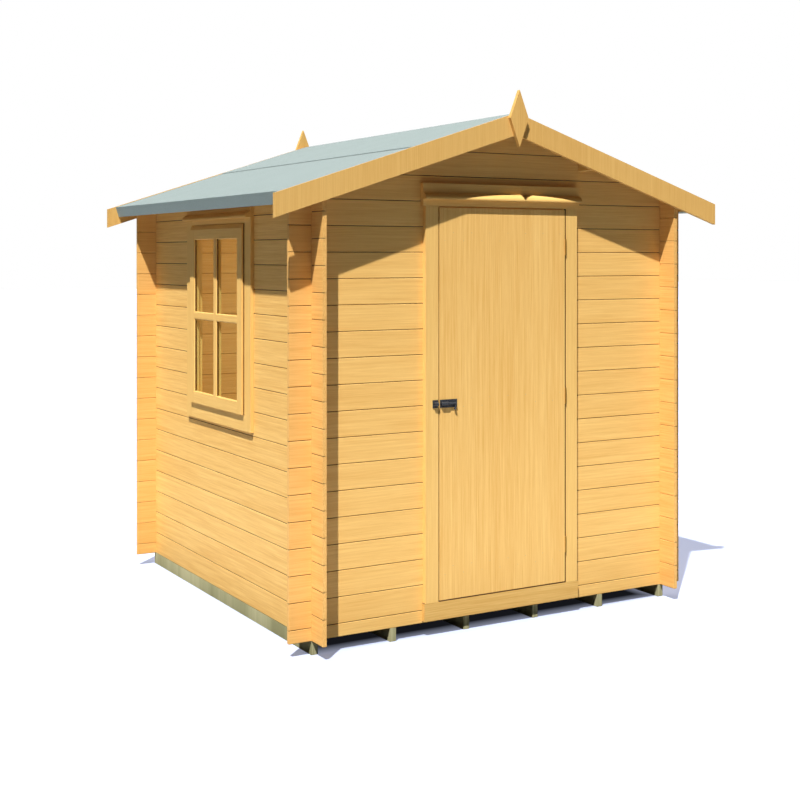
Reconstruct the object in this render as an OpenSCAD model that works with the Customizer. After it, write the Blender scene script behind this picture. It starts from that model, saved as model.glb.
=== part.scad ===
// Small garden log cabin: interlocking tongue-and-groove logs on bearers,
// an apex roof in felt, a ledged and braced door with a sliding bolt, and one
// window in the left wall. Millimetres, +Z up. The origin is on the ground
// under the centre of the plan, and the door faces -Y.

/* [Walls] */
// Width over the outer faces of the side walls
wall_w = 1950; // [1600:10:3000]
// Depth over the outer faces of the front and rear walls
wall_d = 1950; // [1600:10:3000]
// Height that one log adds to a wall
log_h = 114; // [95:1:140]
// Thickness of a log
log_t = 19; // [16:0.5:28]
// Full courses in a side wall
courses = 17; // [15:1:20]
// Length of the log ends past the crossing wall
stub = 105; // [60:5:160]

/* [Log joints] */
// Width of the tongue along the top of a log
tongue_w = 5; // [4:0.5:7]
// Height of the tongue
tongue_h = 7; // [5:0.5:9]
// Slack between a tongue and its groove, at each side and at the tip
tongue_slack = 0.6; // [0.3:0.1:1.5]
// Chamfer along the long edges of a log
chamfer = 2.5; // [1:0.25:4]
// Slack at each side of a corner notch
notch_slack = 0.5; // [0.2:0.1:1.5]
// Clearance between pieces that bear on each other
seat_gap = 0.3; // [0.2:0.05:0.6]

/* [Bearers and floor] */
// Number of bearers
bearer_count = 6; // [4:1:8]
// Width of a bearer
bearer_w = 30; // [25:1:60]
// Height of a bearer
bearer_h = 60; // [40:1:90]
// Thickness of the floor boards
floor_t = 16; // [12:1:28]
// Widest cover width of a floor board
floor_board_w = 96; // [80:1:140]
// Clearance round the floor
floor_margin = 4; // [2:1:10]

/* [Roof] */
// Pitch of the roof, degrees
pitch = 18; // [12:0.5:28]
// Height of the roof seat above the last full course of a side wall
eaves_lift = 8; // [3:1:20]
// Thickness of the roof boards
roof_t = 16; // [12:1:22]
// Widest cover width of a roof board
roof_board_w = 96; // [80:1:140]
// Thickness of the roofing felt
felt_t = 2.5; // [1.5:0.5:4]
// From the ridge to the lower edge of the ridge felt, along the slope
ridge_felt_len = 550; // [300:10:600]
// From a side wall to the ends of the roof boards
eaves_over = 178; // [120:1:240]
// From an end wall to the outer face of a bargeboard
gable_over = 129; // [115:1:220]
// Depth of the eaves battens, square to the slope
batten_d = 34; // [25:1:60]
// Width of the eaves battens, along the slope
batten_w = 28; // [20:1:50]
// Return of the felt under an eaves batten
felt_return = 20; // [10:1:28]
// Thickness of the bargeboards and finials
barge_t = 19; // [15:1:25]
// Depth of a bargeboard, square to the slope
barge_d = 96; // [80:1:120]
// From a side wall to the end of a bargeboard
barge_over = 230; // [200:1:300]
// Width of a purlin
purlin_w = 38; // [28:1:60]
// Depth of a purlin at its deeper face
purlin_h = 74; // [50:1:95]
// From the ridge to the inner face of a side purlin
purlin_x = 448; // [300:5:600]
// Width of a finial
finial_w = 100; // [70:1:130]
// Height of a finial's point above the bargeboards
finial_up = 102; // [60:1:140]
// From the top of the bargeboards down to a finial's widest place
finial_mid = 26; // [10:1:50]
// From the top of the bargeboards down to a finial's lower point
finial_down = 157; // [130:1:200]

/* [Door] */
// Width of the door leaf
leaf_w = 698; // [600:1:800]
// Gap round the door leaf
leaf_gap = 6; // [5:0.5:9]
// Thickness of the door boards
leaf_t = 16; // [14:1:22]
// Number of boards in the leaf
leaf_boards = 7; // [5:1:9]
// Width of the door jambs
jamb_w = 67; // [55:1:80]
// How far the door frame stands out from both wall faces
frame_proud = 23; // [18:1:30]
// Depth of the slots in the frames that take the log ends
slot_d = 24; // [15:1:35]
// Slack round the log ends in those slots
slot_slack = 0.6; // [0.3:0.1:2]
// Height of the door head
head_h = 102; // [80:1:120]
// How far the door head runs past the jambs at each end
head_past = 12; // [0:1:30]
// From the top of the door head up to the first joint above it
head_drop = 34; // [25:1:50]
// How far a cut-away log reaches in behind the door head or window surround
lap = 12; // [6:1:16]
// Room above the door and window heads for the logs to settle
settle_gap = 14; // [8:1:20]
// How far the door stops reach in behind the leaf
stop_w = 14; // [11:1:18]
// Height of the top of the threshold above the starter log
threshold_up = 33; // [25:1:45]
// How far the threshold's front runs down over the starter log
threshold_down = 47; // [30:1:50]
// How far the threshold runs past the jambs at each end
threshold_past = 6; // [2:1:30]
// How far the threshold stands out from the wall
threshold_proud = 23; // [18:1:30]
// Depth of the drip mouldings over the door and window
drip_d = 26; // [15:1:35]
// Height of the drip mouldings
drip_h = 28; // [20:1:40]
// Height of the drip moulding above the bottom of the door head
drip_up = 31; // [20:1:40]
// Width of the ledges and braces on the back of the door
ledge_w = 90; // [70:1:110]
// Thickness of the ledges and braces
ledge_t = 18; // [14:1:24]
// From the ends of the leaf to the middle of the nearest ledges
ledge_in = 130; // [90:5:250]

/* [Hinges and bolt] */
// Number of door hinges
hinge_count = 3; // [2:1:4]
// Height of a hinge
hinge_h = 76; // [60:2:100]
// Radius of the hinge knuckles
knuckle_r = 4; // [3.5:0.25:5]
// Radius of the hinge pins
pin_r = 2; // [1.5:0.25:2.5]
// Running clearance round the pins and the bolt
run_gap = 0.1; // [0.05:0.01:0.3]
// Thickness of the hinge leaves
hinge_t = 1.8; // [1.2:0.1:2]
// Distance of the hinge pins in front of the leaf
pin_out = 3.5; // [3.5:0.5:8]
// From the ends of the leaf to the middle of the nearest hinge
hinge_in = 175; // [120:5:300]
// Height of the bolt above the ground
bolt_z = 1035; // [900:5:1200]
// Radius of the bolt
bolt_r = 5; // [4:0.5:6]
// Travel of the bolt
bolt_throw = 30; // [20:1:35]
// Length of the bolt's plate
plate_l = 90; // [84:1:110]
// Height of the bolt's plate and of its keeper
plate_h = 36; // [30:1:45]
// Thickness of the plate and keeper
plate_t = 2.5; // [2:0.25:4]
// Length of the barrel that guides the bolt
barrel_l = 38; // [30:1:42]
// Wall of the barrel and of the keeper's loop
barrel_wall = 3; // [2:0.5:4]
// Length of the keeper
keeper_l = 28; // [22:1:40]

/* [Window] */
// Courses of full logs below the window
courses_below = 7; // [4:1:9]
// Courses of full logs above the window
courses_above = 1; // [1:1:3]
// Width over the window surround
window_w = 812; // [600:1:1000]
// From the middle of the wall to the middle of the window, to the rear
window_shift = 33; // [-80:1:80]
// Width of the surround's face
surround_w = 72; // [62:1:90]
// How far the surround stands out from the wall
surround_proud = 17; // [12:1:22]
// Height of the surround's lower edge above the joint under it
surround_up = 17; // [8:1:30]
// Height of the surround's lower member
window_sill_h = 74; // [55:1:90]
// Thickness of the lining beside the window
lining_t = 25; // [18:1:35]
// Thickness of the lining over the window
head_lining_t = 19; // [10:1:26]
// Height of the drip moulding above the bottom of the window head
window_drip_up = 26; // [15:1:36]
// Gap between the surround and the casement
casement_gap = 3; // [2:0.5:6]
// Width of the window stops
window_stop_w = 47; // [30:1:50]
// Width of the casement's stiles and bottom rail
stile_w = 54; // [45:1:65]
// Height of the casement's top rail
top_rail_h = 64; // [55:1:85]
// Height of the bevel along the top of the casement
casement_bevel = 20; // [10:1:24]
// How far the casement stands out from the wall
casement_proud = 30; // [24:1:38]
// Width of the glazing bars
bar_w = 28; // [18:1:34]
// How far the glass lies behind the face of the casement
glass_in = 12; // [6:0.5:14]
// Thickness of the glass
glass_t = 3; // [2:0.5:6]
// Depth of the grooves that hold the glass
rebate = 8; // [5:1:12]

/* [Hidden] */

log_color = "burlywood";
frame_color = "navajowhite";
board_color = "wheat";
bearer_color = "darkkhaki";
felt_color = "lightsteelblue";
iron_color = "darkslategray";
glass_color = "lightcyan";

base_z = bearer_h;
front_y = -wall_d / 2;
log_end_x = wall_w / 2 + stub;
log_end_y = wall_d / 2 + stub;
cross_x = wall_w / 2 - log_t / 2;
cross_y = wall_d / 2 - log_t / 2;

// Roof: the underside of the boards over the plan, and its layers
eaves_z = base_z + courses * log_h + eaves_lift;
ridge_z = eaves_z + wall_w / 2 * tan(pitch);
roof_y = wall_d / 2 + gable_over - barge_t;
board_end_u = (wall_w / 2 + eaves_over) / cos(pitch);
felt_v = roof_t + seat_gap;
ridge_felt_v = felt_v + felt_t + seat_gap;
barge_v = ridge_felt_v + felt_t;
barge_top_z = ridge_z + barge_v / cos(pitch);

// Door: the leaf, its frame and the hinge and bolt axes
doorway_z = base_z + log_h / 2;
doorway_top_z = doorway_z + courses * log_h;
frame_y = front_y - frame_proud;
frame_d = log_t + 2 * frame_proud;
jamb_in_x = leaf_w / 2 + leaf_gap;
jamb_out_x = jamb_in_x + jamb_w;
door_log_x = jamb_out_x - slot_d + slot_slack;
threshold_z = doorway_z + threshold_up;
leaf_z = threshold_z + leaf_gap;
head_z = doorway_top_z - head_drop - head_h;
head_top_z = head_z + head_h;
head_end_x = jamb_out_x + head_past;
leaf_top_z = head_z - leaf_gap;
pin_x = leaf_w / 2 + leaf_gap / 2;
pin_y = frame_y - pin_out;
bolt_y = frame_y - seat_gap - plate_t - bolt_r - run_gap - 1;
bolt_rest_x = -leaf_w / 2 + 2;
barrel_x = -leaf_w / 2 + 4;
bolt_l = bolt_throw + barrel_l + 14;
knob_in = bolt_l - 6;
knob_r = 3.5;

// Window: heights are measured from the courses that it interrupts
window_z = base_z + courses_below * log_h;
window_top_z = base_z + (courses - courses_above) * log_h;
surround_z = window_z + surround_up;
sill_top_z = surround_z + window_sill_h;
lining_z = surround_z + lap + seat_gap;
lining_top_z = window_top_z - settle_gap;
window_head_z = lining_top_z - head_lining_t;
surround_top_z = window_head_z + surround_w;
window_half_w = window_w / 2 - surround_w;
window_log_y = window_half_w + lining_t + slot_slack;
casement_w = 2 * (window_half_w - casement_gap);
casement_z = sill_top_z + casement_gap;
casement_top_z = window_head_z - casement_gap;
casement_x = -wall_w / 2 - casement_proud;
casement_t = casement_proud - 1;
glass_x = casement_x + glass_in;
pane_w = casement_w - 2 * stile_w;
pane_z = casement_z + stile_w;
pane_h = casement_top_z - top_rail_h - pane_z;

// A point on the right-hand slope: u down the slope from the ridge, v square to it
function roof_point(u, v) =
    [u * cos(pitch) + v * sin(pitch), ridge_z - u * sin(pitch) + v * cos(pitch)];

// The same height v above the slope, at a distance x from the ridge
function roof_point_at(x, v) = [x, ridge_z - x * tan(pitch) + v / cos(pitch)];

// Extrudes a profile drawn as (x, z) along Y
module along_y(y0, y1) {
    translate([0, y1, 0]) rotate([90, 0, 0]) linear_extrude(y1 - y0) children();
}

// Extrudes a profile drawn as (y, z) along X
module along_x(x0, x1) {
    translate([x0, 0, 0]) rotate([90, 0, 90]) linear_extrude(x1 - x0) children();
}

module both_sides() {
    children();
    mirror([1, 0, 0]) children();
}

// Section of a log: chamfered faces, a tongue on top and a groove underneath
module log_section(h, tongue, groove) {
    top = h - seat_gap;
    half = log_t / 2;
    groove_half = tongue_w / 2 + tongue_slack;
    groove_h = tongue_h + tongue_slack;
    polygon(concat(
        [[-half, chamfer], [-half + chamfer, 0]],
        groove ? [[-groove_half, 0], [-groove_half, groove_h],
                  [groove_half, groove_h], [groove_half, 0]] : [],
        [[half - chamfer, 0], [half, chamfer]],
        [[half, top - chamfer], [half - chamfer, top]],
        tongue ? [[tongue_w / 2, top], [tongue_w / 2 - 0.5, top + tongue_h],
                  [-tongue_w / 2 + 0.5, top + tongue_h], [-tongue_w / 2, top]] : [],
        [[-half + chamfer, top], [-half, top - chamfer]]));
}

// A log along X from x0 to x1, with corner notches at the places in cross
module log(x0, x1, z, cross, h = log_h, tongue = true, groove = true,
           low_notch = true, high_notch = true) {
    notch_w = log_t + 2 * notch_slack;
    difference() {
        translate([0, 0, z]) along_x(x0, x1) log_section(h, tongue, groove);
        for (c = cross) {
            if (low_notch)
                translate([c - notch_w / 2, -log_t, z - 1])
                    cube([notch_w, 2 * log_t, log_h / 4 + 1]);
            if (high_notch)
                translate([c - notch_w / 2, -log_t, z + h - log_h / 4 - seat_gap])
                    cube([notch_w, 2 * log_t, log_h / 4 + 2 * tongue_h + eaves_lift + log_t]);
        }
    }
}

// Everything that lies under the roof boards
module under_roof() {
    reach = log_end_x + 10;
    along_y(-log_end_y - 10, log_end_y + 10)
        polygon([[-reach, 0], [reach, 0], roof_point_at(reach, -seat_gap),
                 roof_point_at(0, -seat_gap),
                 [-reach, roof_point_at(reach, -seat_gap)[1]]]);
}

// One course of an end wall, numbered from the half-height starter log
module end_course(k, x0, x1, cross) {
    log(x0, x1, base_z + (k - 0.5) * log_h, cross, high_notch = k < courses);
}

module starter_log() {
    log(-log_end_x, log_end_x, base_z, [-cross_x, cross_x], h = log_h / 2,
        groove = false, low_notch = false);
}

// Purlins with their tops cut to the slope; grow widens them for their notches
module ridge_purlin_shape(grow = 0) {
    half = purlin_w / 2 + grow;
    low = ridge_z - purlin_h - grow;
    over = grow > 0 ? 10 : -seat_gap;
    polygon([[-half, low], [half, low], roof_point_at(half, over),
             roof_point_at(0, over), [-half, roof_point_at(half, over)[1]]]);
}

module side_purlin_shape(grow = 0) {
    low = roof_point_at(purlin_x, 0)[1] - purlin_h - grow;
    over = grow > 0 ? 10 : -seat_gap;
    polygon([[purlin_x - grow, low], [purlin_x + purlin_w + grow, low],
             roof_point_at(purlin_x + purlin_w + grow, over),
             roof_point_at(purlin_x - grow, over)]);
}

// Gable logs above the last course that crosses the side walls
module gable_logs(y) {
    gable_z = base_z + (courses + 0.5) * log_h;
    count = ceil((ridge_z - gable_z) / log_h);
    difference() {
        intersection() {
            translate([0, y, 0]) for (k = [1 : count])
                log(-wall_w / 2, wall_w / 2, gable_z + (k - 1) * log_h, [],
                    tongue = k < count);
            under_roof();
        }
        along_y(y - log_t, y + log_t) {
            ridge_purlin_shape(notch_slack);
            both_sides() side_purlin_shape(notch_slack);
        }
    }
}

// Side wall logs stand along Y, so a log along X is turned a quarter
module side_log(x, y0, y1, k, cross) {
    is_top = k == courses - 1;
    translate([x, 0, 0]) rotate(90)
        log(y0, y1, base_z + k * log_h, cross,
            h = is_top ? log_h + eaves_lift + log_t * tan(pitch) + chamfer : log_h,
            tongue = !is_top, groove = k > 0, high_notch = !is_top);
}

// The top log carries the roof, so its top is bevelled to the slope
module top_side_log(x) {
    notch_w = log_t + 2 * notch_slack;
    difference() {
        intersection() {
            side_log(x, -log_end_y, log_end_y, courses - 1, [-cross_y, cross_y]);
            under_roof();
        }
        for (y = [-cross_y, cross_y])
            translate([x - log_t, y - notch_w / 2,
                       base_z + courses * log_h - log_h / 4 - seat_gap])
                cube([2 * log_t, notch_w, log_h]);
    }
}

module bearers() {
    color(bearer_color) for (i = [0 : bearer_count - 1])
        translate([-wall_w / 2 + i * (wall_w - bearer_w) / (bearer_count - 1), front_y, 0])
            cube([bearer_w, wall_d, bearer_h - seat_gap]);
}

module floor_boards() {
    room_d = wall_d - 2 * (log_t + floor_margin);
    half_w = wall_w / 2 - log_t - floor_margin;
    count = ceil(room_d / floor_board_w);
    cover = room_d / count;
    color(board_color) for (i = [0 : count - 1])
        translate([0, -room_d / 2 + i * cover, base_z])
            along_x(-half_w, half_w) board_section(cover - seat_gap, floor_t);
}

// A board with small chamfers on the long edges of its upper face
module board_section(w, t, c = 1.2) {
    polygon([[0, 0], [w, 0], [w, t - c], [w - c, t], [c, t], [0, t - c]]);
}

module front_starter_log() {
    color(log_color) translate([0, -cross_y, 0]) starter_log();
}

module front_logs_left() {
    color(log_color) translate([0, -cross_y, 0]) for (k = [1 : courses - 1])
        end_course(k, -log_end_x, -door_log_x, [-cross_x]);
}

module front_logs_right() {
    mirror([1, 0, 0]) front_logs_left();
}

// The lowest log crosses the side walls and is cut away over the door head
module front_gable_logs() {
    color(log_color) {
        gable_logs(-cross_y);
        difference() {
            intersection() {
                translate([0, -cross_y, 0])
                    end_course(courses, -log_end_x, log_end_x, [-cross_x, cross_x]);
                under_roof();
            }
            translate([-door_log_x, -wall_d, 0])
                cube([2 * door_log_x, wall_d, head_top_z - lap]);
        }
    }
}

module rear_wall_logs() {
    color(log_color) intersection() {
        translate([0, cross_y, 0]) {
            starter_log();
            for (k = [1 : courses])
                end_course(k, -log_end_x, log_end_x, [-cross_x, cross_x]);
        }
        under_roof();
    }
}

module rear_gable_logs() {
    color(log_color) gable_logs(cross_y);
}

// The uppermost of these logs is cut away for the window
module left_logs_below_window() {
    color(log_color) difference() {
        for (k = [0 : courses_below])
            side_log(-cross_x, -log_end_y, log_end_y, k, [-cross_y, cross_y]);
        translate([-wall_w, window_shift - window_log_y, surround_z + lap])
            cube([wall_w, 2 * window_log_y, 2 * log_h]);
    }
}

module left_logs_before_window() {
    color(log_color) for (k = [courses_below + 1 : courses - courses_above - 1])
        side_log(-cross_x, -log_end_y, window_shift - window_log_y, k, [-cross_y]);
}

module left_logs_behind_window() {
    color(log_color) for (k = [courses_below + 1 : courses - courses_above - 1])
        side_log(-cross_x, window_shift + window_log_y, log_end_y, k, [cross_y]);
}

module left_logs_above_window() {
    color(log_color) {
        for (k = [courses - courses_above : 1 : courses - 2])
            side_log(-cross_x, -log_end_y, log_end_y, k, [-cross_y, cross_y]);
        top_side_log(-cross_x);
    }
}

module right_wall_logs() {
    color(log_color) {
        for (k = [0 : courses - 2])
            side_log(cross_x, -log_end_y, log_end_y, k, [-cross_y, cross_y]);
        top_side_log(cross_x);
    }
}

module ridge_purlin() {
    color(frame_color) along_y(-roof_y + seat_gap, roof_y - seat_gap) ridge_purlin_shape();
}

module side_purlins() {
    color(frame_color) both_sides()
        along_y(-roof_y + seat_gap, roof_y - seat_gap) side_purlin_shape();
}

// Boards run down the slope, chamfered underneath, and meet on the ridge line
module slope_boards() {
    count = ceil(2 * roof_y / roof_board_w);
    cover = (2 * roof_y - seat_gap) / count;
    intersection() {
        translate([0, 0, ridge_z]) rotate([0, pitch, 0])
            for (i = [0 : count - 1])
                translate([0, -roof_y + seat_gap + i * cover, roof_t])
                    along_x(-roof_t, board_end_u)
                        mirror([0, 1]) board_section(cover - seat_gap, roof_t, 2);
        translate([seat_gap / 2, -roof_y, 0]) cube([wall_w, 2 * roof_y, 2 * ridge_z]);
    }
}

module roof_boards_left() {
    color(board_color) mirror([1, 0, 0]) slope_boards();
}

module roof_boards_right() {
    color(board_color) slope_boards();
}

module eaves_battens() {
    color(frame_color) both_sides() along_y(-roof_y + seat_gap, roof_y - seat_gap)
        polygon([roof_point(board_end_u - batten_w, -seat_gap),
                 roof_point(board_end_u, -seat_gap),
                 roof_point(board_end_u, -seat_gap - batten_d),
                 roof_point(board_end_u - batten_w, -seat_gap - batten_d)]);
}

// Felt over one slope, folded down over the eaves batten and back under it
module slope_felt() {
    top_u = 60;
    edge_u = board_end_u + seat_gap;
    low_v = -batten_d - 2 * seat_gap;
    return_u = board_end_u - felt_return;
    along_y(-roof_y + seat_gap, roof_y - seat_gap)
        polygon([roof_point(top_u, felt_v), roof_point(top_u, felt_v + felt_t),
                 roof_point(edge_u + felt_t, felt_v + felt_t),
                 roof_point(edge_u + felt_t, low_v - felt_t),
                 roof_point(return_u, low_v - felt_t), roof_point(return_u, low_v),
                 roof_point(edge_u, low_v), roof_point(edge_u, felt_v)]);
}

module felt_left() {
    color(felt_color) mirror([1, 0, 0]) slope_felt();
}

module felt_right() {
    color(felt_color) slope_felt();
}

module felt_ridge() {
    half_x = roof_point(ridge_felt_len, ridge_felt_v)[0];
    low = roof_point_at(half_x, ridge_felt_v);
    high = roof_point_at(half_x, ridge_felt_v + felt_t);
    color(felt_color) along_y(-roof_y + seat_gap, roof_y - seat_gap)
        polygon([low, high, roof_point_at(0, ridge_felt_v + felt_t),
                 [-high[0], high[1]], [-low[0], low[1]], roof_point_at(0, ridge_felt_v)]);
}

// A pair of bargeboards, mitred on the ridge line and cut upright at the ends
module bargeboards(y0) {
    end_x = wall_w / 2 + barge_over;
    color(frame_color) both_sides() along_y(y0, y0 + barge_t)
        polygon([roof_point_at(seat_gap / 2, barge_v), roof_point_at(end_x, barge_v),
                 roof_point_at(end_x, barge_v - barge_d),
                 roof_point_at(seat_gap / 2, barge_v - barge_d)]);
}

module bargeboards_front() {
    bargeboards(-roof_y - barge_t);
}

module bargeboards_rear() {
    bargeboards(roof_y);
}

module finial(y0) {
    color(frame_color) along_y(y0, y0 + barge_t)
        polygon([[0, barge_top_z + finial_up], [finial_w / 2, barge_top_z - finial_mid],
                 [0, barge_top_z - finial_down], [-finial_w / 2, barge_top_z - finial_mid]]);
}

module finial_front() {
    finial(-roof_y - 2 * barge_t - seat_gap);
}

module finial_rear() {
    finial(roof_y + barge_t + seat_gap);
}

// A jamb slotted over the log ends, drawn for the right-hand side
module door_jamb() {
    slot_x = jamb_out_x - slot_d;
    slot_y0 = front_y - slot_slack;
    slot_y1 = front_y + log_t + slot_slack;
    back_y = frame_y + frame_d;
    translate([0, 0, threshold_z + seat_gap])
        linear_extrude(head_z - threshold_z - 2 * seat_gap)
            polygon([[jamb_in_x, frame_y], [jamb_out_x, frame_y], [jamb_out_x, slot_y0],
                     [slot_x, slot_y0], [slot_x, slot_y1], [jamb_out_x, slot_y1],
                     [jamb_out_x, back_y], [jamb_in_x, back_y]]);
}

module door_jamb_left() {
    color(frame_color) mirror([1, 0, 0]) door_jamb();
}

module door_jamb_right() {
    color(frame_color) door_jamb();
}

// The head has such a slot along its top, for the log above to settle into
module door_head() {
    slot_z = head_top_z - lap - settle_gap;
    slot_y0 = front_y - slot_slack;
    slot_y1 = front_y + log_t + slot_slack;
    back_y = frame_y + frame_d;
    color(frame_color) difference() {
        along_x(-head_end_x, head_end_x)
            polygon([[frame_y, head_z], [back_y, head_z], [back_y, head_top_z],
                     [slot_y1, head_top_z], [slot_y1, slot_z], [slot_y0, slot_z],
                     [slot_y0, head_top_z], [frame_y, head_top_z]]);
        both_sides() translate([door_log_x - 1, slot_y0, head_z - 1])
            cube([slot_d + head_past + 2, slot_y1 - slot_y0, head_h + 2]);
    }
}

// The threshold is grooved over the starter log's tongue, with a deep front
module door_threshold() {
    low_z = doorway_z + seat_gap;
    front_low_z = doorway_z - threshold_down;
    groove_half = tongue_w / 2 + tongue_slack;
    groove_z = doorway_z + tongue_h + tongue_slack;
    out_y = front_y - threshold_proud;
    back_y = frame_y + frame_d;
    end_x = jamb_out_x + threshold_past;
    color(frame_color) difference() {
        along_x(-end_x, end_x)
            polygon([[out_y, front_low_z], [front_y - seat_gap, front_low_z],
                     [front_y - seat_gap, low_z], [-cross_y - groove_half, low_z],
                     [-cross_y - groove_half, groove_z], [-cross_y + groove_half, groove_z],
                     [-cross_y + groove_half, low_z], [back_y, low_z],
                     [back_y, threshold_z], [out_y, threshold_z]]);
        both_sides() {
            translate([door_log_x - 1, front_y - slot_slack, front_low_z])
                cube([end_x, log_t + 2 * slot_slack, log_h]);
            translate([jamb_out_x, front_y - slot_slack, front_low_z])
                cube([end_x, wall_d, log_h]);
        }
    }
}

// Strips that the leaf closes towards, one on each jamb and one under the head
module door_stops() {
    stop_y = frame_y + leaf_t + leaf_gap;
    stop_d = frame_y + frame_d - stop_y;
    stop_x = jamb_in_x - seat_gap - stop_w;
    color(frame_color) {
        both_sides() translate([stop_x, stop_y, threshold_z + seat_gap])
            cube([stop_w, stop_d, head_z - threshold_z - 2 * seat_gap]);
        translate([-stop_x + seat_gap, stop_y, head_z - seat_gap - stop_w])
            cube([2 * (stop_x - seat_gap), stop_d, stop_w]);
    }
}

// Drip moulding along X with its back on the plane y = 0: flat underneath, an
// upright nose, and a slightly rounded slope back to the top
module drip_moulding(half_l) {
    nose = 6;
    bulge = 4;
    steps = 8;
    run = drip_d - 2;
    rise = drip_h - nose;
    slope_l = sqrt(run * run + rise * rise);
    along_x(-half_l, half_l)
        polygon(concat(
            [[0, 0], [-drip_d, 0]],
            [for (i = [0 : steps]) let (t = i / steps, out = 4 * bulge * t * (1 - t))
                [run * t - drip_d - out * rise / slope_l,
                 nose + rise * t + out * run / slope_l]],
            [[0, drip_h]]));
}

module door_drip_moulding() {
    color(frame_color) translate([0, frame_y - seat_gap, head_z + drip_up])
        drip_moulding(head_end_x);
}

// Square-edged boards, closed up tight
module door_boards() {
    cover = leaf_w / leaf_boards;
    color(board_color) for (i = [0 : leaf_boards - 1])
        translate([-leaf_w / 2 + i * cover + seat_gap / 2, frame_y, leaf_z])
            cube([cover - seat_gap, leaf_t, leaf_top_z - leaf_z]);
}

ledge_x = jamb_in_x - stop_w - 2 * leaf_gap;
ledge_y = frame_y + leaf_t + seat_gap;
ledge_mid = (leaf_z + leaf_top_z) / 2;
ledge_zs = [leaf_z + ledge_in, ledge_mid, leaf_top_z - ledge_in];

module door_ledges() {
    color(board_color) for (z = ledge_zs)
        translate([-ledge_x, ledge_y, z - ledge_w / 2]) cube([2 * ledge_x, ledge_t, ledge_w]);
}

// Braces rise from the hinge side to the bolt side between two ledges
module door_braces() {
    inset = 20;
    color(board_color) for (i = [0, 1]) {
        z0 = ledge_zs[i] + ledge_w / 2 + seat_gap;
        z1 = ledge_zs[i + 1] - ledge_w / 2 - seat_gap;
        along_y(ledge_y, ledge_y + ledge_t)
            polygon([[ledge_x - inset - ledge_w, z0], [ledge_x - inset, z0],
                     [-ledge_x + inset + ledge_w, z1], [-ledge_x + inset, z1]]);
    }
}

hinge_zs = [for (i = [0 : hinge_count - 1])
    leaf_z + hinge_in + i * (leaf_top_z - leaf_z - 2 * hinge_in) / (hinge_count - 1)];
hinge_leaf_d = 18;
knuckle_h = hinge_h / 3;

// A hinge leaf beside the pin: a full-height plate and a tab to its knuckles
module hinge_leaf(tab_z, tab_h, side) {
    near = side > 0 ? leaf_gap / 2 - hinge_t - 0.2 : -leaf_gap / 2 + 0.2;
    translate([near, knuckle_r + 0.6, -hinge_h / 2])
        cube([hinge_t, hinge_leaf_d - knuckle_r, hinge_h]);
    translate([near, pin_r + run_gap + 0.2, tab_z])
        cube([hinge_t, knuckle_r - pin_r + 2, tab_h]);
}

module hinges_on_door() {
    color(iron_color) for (z = hinge_zs) translate([pin_x, pin_y, z]) {
        difference() {
            union() {
                translate([0, 0, -knuckle_h / 2 + seat_gap])
                    cylinder(h = knuckle_h - 2 * seat_gap, r = knuckle_r, $fn = 48);
                hinge_leaf(-knuckle_h / 2 + seat_gap, knuckle_h - 2 * seat_gap, -1);
            }
            translate([0, 0, -knuckle_h])
                cylinder(h = 2 * knuckle_h, r = pin_r + run_gap, $fn = 48);
        }
    }
}

module hinges_on_frame() {
    color(iron_color) for (z = hinge_zs) translate([pin_x, pin_y, z]) {
        cylinder(h = hinge_h, r = pin_r, center = true, $fn = 48);
        for (end = [-1, 1]) translate([0, 0, end * knuckle_h])
            cylinder(h = knuckle_h, r = knuckle_r, center = true, $fn = 48);
        for (end = [-1, 1])
            hinge_leaf(end * knuckle_h - knuckle_h / 2, knuckle_h, 1);
    }
}

// A plate on the face of the door or frame, with a loop round the bolt
module bolt_guide(x0, l, loop_x, loop_l) {
    plate_y = frame_y - seat_gap - plate_t;
    loop_r = bolt_r + run_gap + barrel_wall;
    difference() {
        union() {
            translate([x0, plate_y, bolt_z - plate_h / 2]) cube([l, plate_t, plate_h]);
            translate([loop_x, bolt_y, bolt_z]) rotate([0, 90, 0])
                cylinder(h = loop_l, r = loop_r, $fn = 48);
            translate([loop_x, bolt_y, bolt_z - loop_r])
                cube([loop_l, plate_y - bolt_y + plate_t / 2, 2 * loop_r]);
        }
        translate([loop_x - 1, bolt_y, bolt_z]) rotate([0, 90, 0])
            cylinder(h = loop_l + 2, r = bolt_r + run_gap, $fn = 48);
        translate([x0 - 1, frame_y - seat_gap, bolt_z - plate_h])
            cube([l + 2, loop_r, 2 * plate_h]);
    }
}

module bolt_plate() {
    color(iron_color) bolt_guide(-leaf_w / 2 + 1, plate_l, barrel_x, barrel_l);
}

module bolt_keeper() {
    x0 = -jamb_in_x - 3 - keeper_l;
    color(iron_color) bolt_guide(x0, keeper_l, x0 + 3, keeper_l - 6);
}

// The bolt is stored drawn back; its handle hangs down in front of the plate
module bolt() {
    handle_l = 24;
    color(iron_color) translate([bolt_rest_x, bolt_y, bolt_z]) {
        rotate([0, 90, 0]) cylinder(h = bolt_l, r = bolt_r, $fn = 48);
        translate([knob_in, 0, -handle_l]) cylinder(h = handle_l, r = knob_r, $fn = 32);
        translate([knob_in, 0, -handle_l]) sphere(r = knob_r + 2, $fn = 32);
    }
}

// Part of the surround: a face in front of the logs and a lining through the
// wall behind it, each given as its ranges along Y and Z
module faced_lining(face_y, face_z, lining_y, lining_z) {
    translate([-wall_w / 2 - surround_proud, face_y[0], face_z[0]])
        cube([surround_proud - slot_slack, face_y[1] - face_y[0], face_z[1] - face_z[0]]);
    translate([-wall_w / 2 - surround_proud + 1, lining_y[0], lining_z[0]])
        cube([surround_proud - 1 + log_t, lining_y[1] - lining_y[0],
              lining_z[1] - lining_z[0]]);
}

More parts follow.
